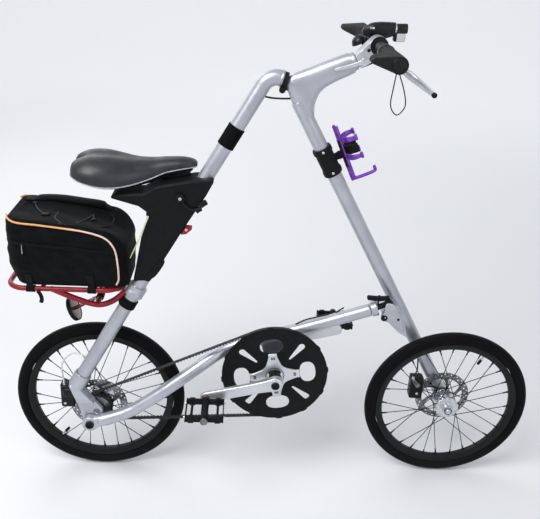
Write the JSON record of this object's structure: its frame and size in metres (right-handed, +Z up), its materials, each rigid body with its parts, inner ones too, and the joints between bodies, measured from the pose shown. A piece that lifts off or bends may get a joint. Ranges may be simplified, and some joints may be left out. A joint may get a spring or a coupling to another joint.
{
  "type": "folding bicycle",
  "caption": "Belt-drive folding bicycle with a triangular tube frame, small spoked wheels, disc brakes, a slide-on saddle, a rear rack with a bag and fold-down bars.",
  "frame": {"origin": "on the floor, midway between the wheels and in the plane of the wheels", "axes": "+X forward to the front wheel, +Y to the rider's left, +Z up"},
  "size_m": [1.3, 0.488, 1.1399],
  "materials": {
    "silver_paint": "metallic silver paint",
    "polished_alloy": "polished",
    "black_alloy": "satin black",
    "black_plastic": "moulded",
    "tyre_rubber": "slick tread",
    "belt_rubber": "ribbed",
    "steel": "brushed",
    "red_paint": "gloss red",
    "purple_anodised": "anodised",
    "grey_rubber": "soft rubber",
    "black_fabric": "woven nylon",
    "black_leather": "soft sheen",
    "white_cable": "cable housing",
    "reflector_grey": "reflector",
    "red_plastic": "moulded"
  },
  "bodies": {
    "rear_frame": {"rear_tube": "silver_paint", "tube_sleeve": "grey_rubber", "rear_foot": "silver_paint", "apex_hinge": "black_alloy", "rear_axle": "steel", "rear_caliper": "black_alloy", "rear_brake_cable": "white_cable", "apex_cable": "black_plastic", "rack_clamp": "black_plastic", "rack_frame": "red_paint", "bag_body": "black_fabric", "rear_reflector": "reflector_grey"},
    "saddle_unit": {"saddle_bracket": "black_plastic", "bracket_knob": "black_plastic", "saddle_base": "grey_rubber", "saddle_pad": "black_leather", "red_clip": "red_plastic"},
    "rear_wheel": {"rear_tyre": "tyre_rubber", "rear_rim": "black_alloy", "rear_hub": "polished_alloy", "rear_rotor": "steel"},
    "rear_sprocket": {"rear_sprocket": "black_alloy"},
    "bottom_tube": {"bottom_tube": "silver_paint", "pivot_bolt": "black_alloy", "latch_ball": "black_alloy", "drive_belt": "belt_rubber"},
    "latch_lever": {"latch_lever": "black_plastic"},
    "crankset": {"crank_spindle": "black_alloy", "belt_wheel": "black_alloy", "spider": "polished_alloy", "right_crank": "polished_alloy", "left_crank": "polished_alloy", "right_pedal_axle": "steel", "left_pedal_axle": "steel"},
    "right_pedal": {"right_pedal": "black_plastic"},
    "left_pedal": {"left_pedal": "black_plastic"},
    "apex_knuckle": {"apex_knuckle": "black_alloy"},
    "front_frame": {"front_frame": "silver_paint", "front_axle": "steel", "latch_bracket": "polished_alloy", "bar_clamp": "polished_alloy", "cage_clamp": "black_plastic", "bottle_cage": "purple_anodised", "front_caliper": "black_alloy"},
    "bar_lever": {"bar_lever": "polished_alloy"},
    "front_wheel": {"front_tyre": "tyre_rubber", "front_rim": "black_alloy", "front_hub": "polished_alloy", "front_rotor": "steel"},
    "right_bar": {"right_bar": "black_alloy", "right_grip": "grey_rubber", "right_brake_mount": "black_alloy", "lanyard": "black_fabric"},
    "left_bar": {"left_bar": "black_alloy", "left_grip": "grey_rubber", "left_brake_mount": "black_alloy", "front_lamp": "black_plastic", "bell": "black_plastic"},
    "right_brake_lever": {"right_brake_lever": "polished_alloy"},
    "left_brake_lever": {"left_brake_lever": "polished_alloy"}
  },
  "joints": [
    {"name": "saddle_slide", "type": "slide", "parent": "rear_frame", "child": "saddle_unit", "axis": [0.5, 0.0772, 0.8626], "range_m": [0, 0.05]},
    {"name": "rear_wheel_spin", "type": "hinge", "parent": "rear_frame", "child": "rear_wheel", "pos_m": [-0.4405, 0, 0.2095], "axis": [0, 1, 0], "continuous": true},
    {"name": "sprocket_spin", "type": "hinge", "parent": "rear_frame", "child": "rear_sprocket", "pos_m": [-0.4405, 0, 0.2095], "axis": [0, 1, 0], "continuous": true},
    {"name": "frame_fold", "type": "hinge", "parent": "rear_frame", "child": "apex_knuckle", "pos_m": [-0.02467, 0, 0.99897], "axis": [0.0852, 0.9964, 0], "range_deg": [0, 39], "deforming": ["apex_cable"]},
    {"name": "steering", "type": "hinge", "parent": "apex_knuckle", "child": "front_frame", "pos_m": [0.007, 0, 1.009], "axis": [0.4423, 0, -0.8969], "range_deg": [-22, 22]},
    {"name": "front_wheel_spin", "type": "hinge", "parent": "front_frame", "child": "front_wheel", "pos_m": [0.4405, 0, 0.2095], "axis": [0, 1, 0], "continuous": true},
    {"name": "right_bar_fold", "type": "hinge", "parent": "front_frame", "child": "right_bar", "pos_m": [0.168, -0.01925, 1.081], "axis": [1, 0, 0], "range_deg": [0, 60]},
    {"name": "left_bar_fold", "type": "hinge", "parent": "front_frame", "child": "left_bar", "pos_m": [0.168, 0.01925, 1.081], "axis": [-1, 0, 0], "range_deg": [0, 60]},
    {"name": "right_lever_pull", "type": "hinge", "parent": "right_bar", "child": "right_brake_lever", "pos_m": [0.19, -0.088, 1.076], "axis": [-0.5349, 0, -0.8449], "range_deg": [0, 12], "stiffness_Nm_per_rad": 1.5},
    {"name": "left_lever_pull", "type": "hinge", "parent": "left_bar", "child": "left_brake_lever", "pos_m": [0.19, 0.088, 1.076], "axis": [0.5349, 0, 0.8449], "range_deg": [0, 12], "stiffness_Nm_per_rad": 1.5},
    {"name": "bar_lever_turn", "type": "hinge", "parent": "front_frame", "child": "bar_lever", "pos_m": [0.14, 0, 1.067], "axis": [0, -1, 0], "range_deg": [0, 90]},
    {"name": "bottom_tube_swing", "type": "hinge", "parent": "rear_frame", "child": "bottom_tube", "pos_m": [-0.455, 0, 0.184], "axis": [0, -1, 0], "range_deg": [0, 30], "deforming": ["drive_belt"]},
    {"name": "latch_press", "type": "hinge", "parent": "bottom_tube", "child": "latch_lever", "pos_m": [0.236, 0, 0.511], "axis": [0, -1, 0], "range_deg": [0, 12], "stiffness_Nm_per_rad": 0.2},
    {"name": "crank_spin", "type": "hinge", "parent": "bottom_tube", "child": "crankset", "pos_m": [-0.0085, 0, 0.321], "axis": [0, 1, 0], "continuous": true},
    {"name": "right_pedal_spin", "type": "hinge", "parent": "crankset", "child": "right_pedal", "pos_m": [-0.17241, 0, 0.27983], "axis": [0, 1, 0], "continuous": true},
    {"name": "left_pedal_spin", "type": "hinge", "parent": "crankset", "child": "left_pedal", "pos_m": [0.15541, 0, 0.36217], "axis": [0, 1, 0], "continuous": true}
  ],
  "couplings": [
    {"joint": "bottom_tube_swing", "follows": "frame_fold", "ratio": 0.75},
    {"joint": "sprocket_spin", "follows": "crank_spin", "ratio": 3.42}
  ]
}
